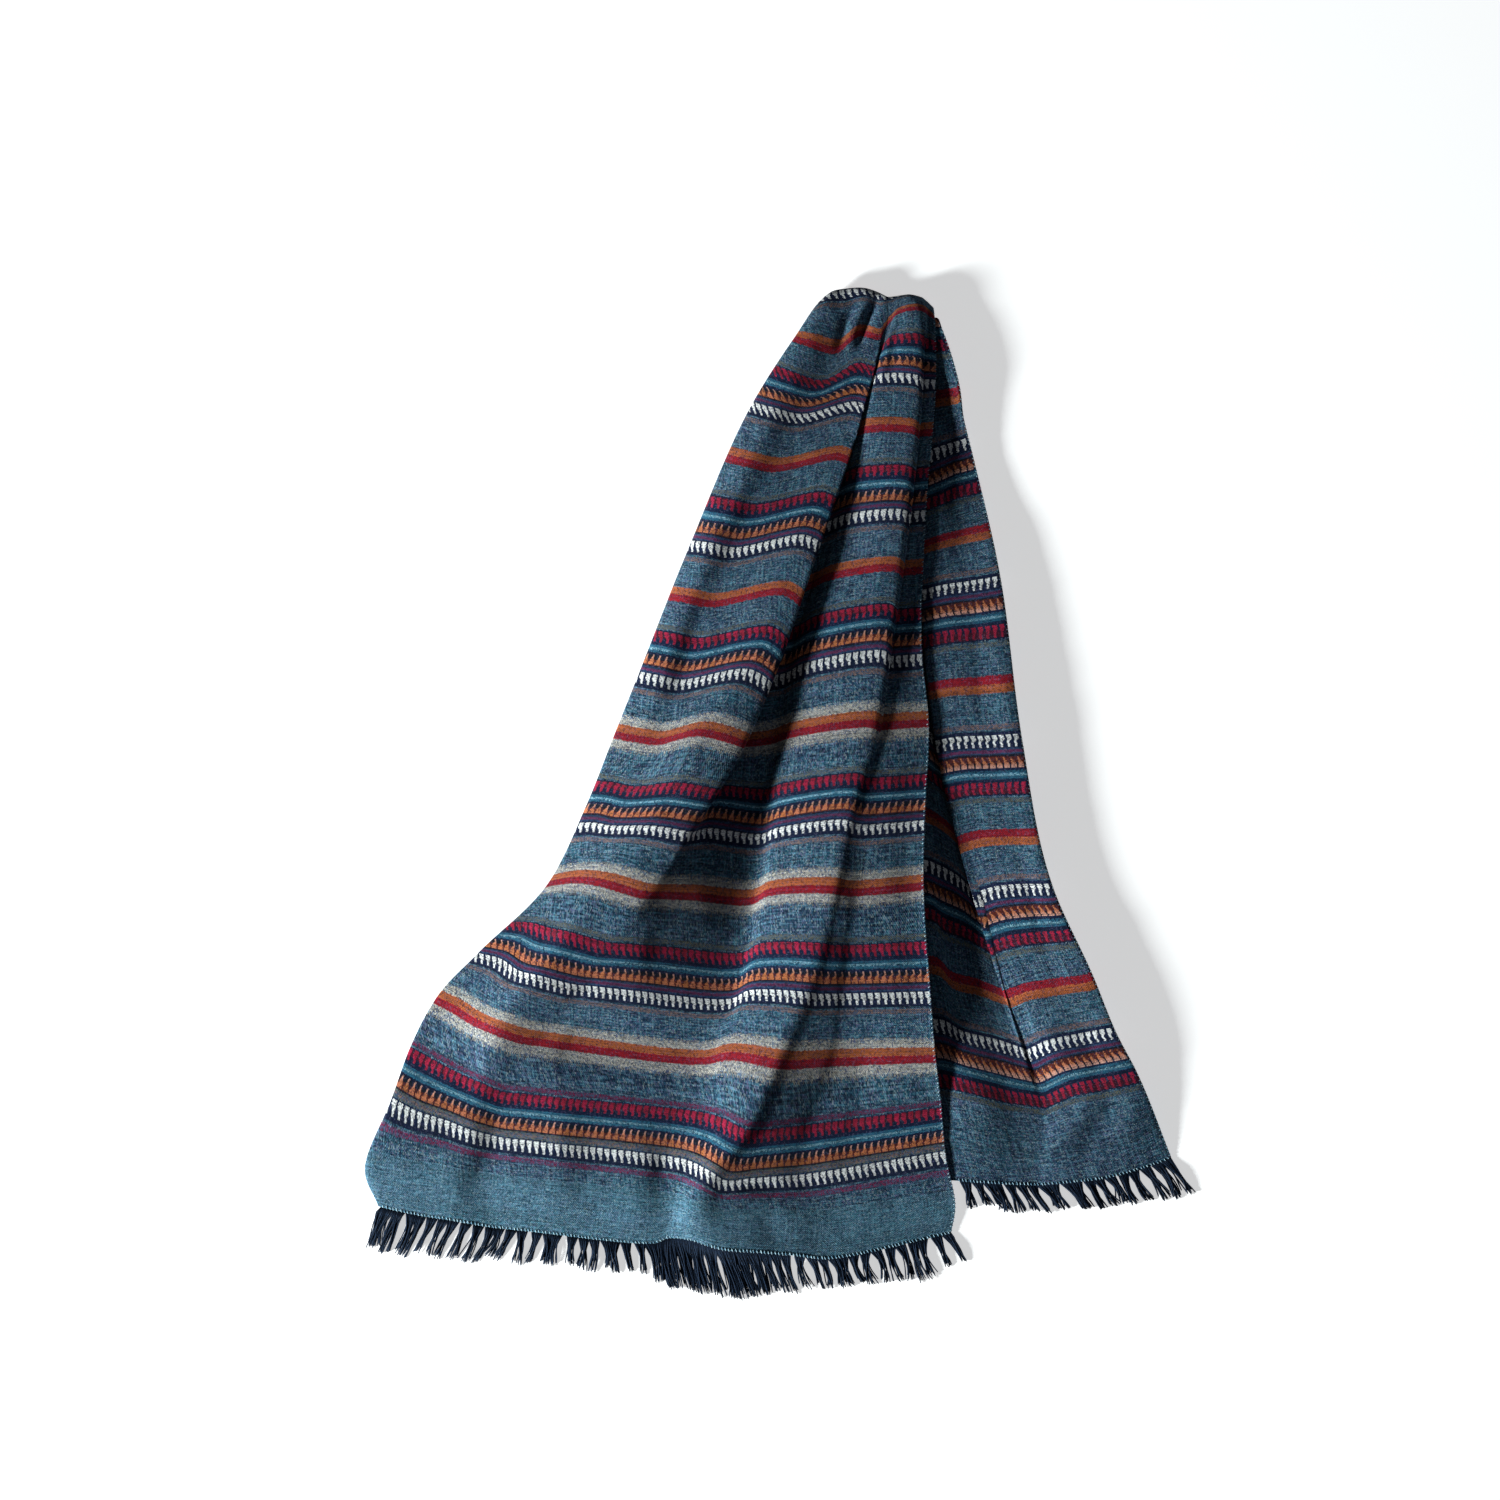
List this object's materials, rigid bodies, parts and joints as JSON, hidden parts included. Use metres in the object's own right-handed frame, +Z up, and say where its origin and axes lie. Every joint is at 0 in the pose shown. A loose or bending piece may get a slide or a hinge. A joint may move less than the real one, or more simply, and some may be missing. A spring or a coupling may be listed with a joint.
{
  "type": "brocade scarf",
  "caption": "Long woven scarf, gathered at its middle and laid out flat in two fanned falls with fringed ends.",
  "frame": {"origin": "on the surface the scarf lies on, under the middle of its box", "axes": "+Z up out of the surface; +Y towards the gathered middle of the scarf, away from its two hems; +X to the side where the back fall shows"},
  "size_m": [0.8312, 1.0054, 0.04],
  "materials": {
    "brocade": "matt denim-blue weave with banded rows of woven teeth",
    "brocade_reverse": "matt reverse of the same weave, a little greyer",
    "fringe_yarn": "matt navy yarn"
  },
  "bodies": {
    "root": {"front_fall": "brocade", "back_fall": "brocade_reverse", "inner_folds": "brocade", "front_fringe": "fringe_yarn", "back_fringe": "fringe_yarn"}
  },
  "joints": []
}
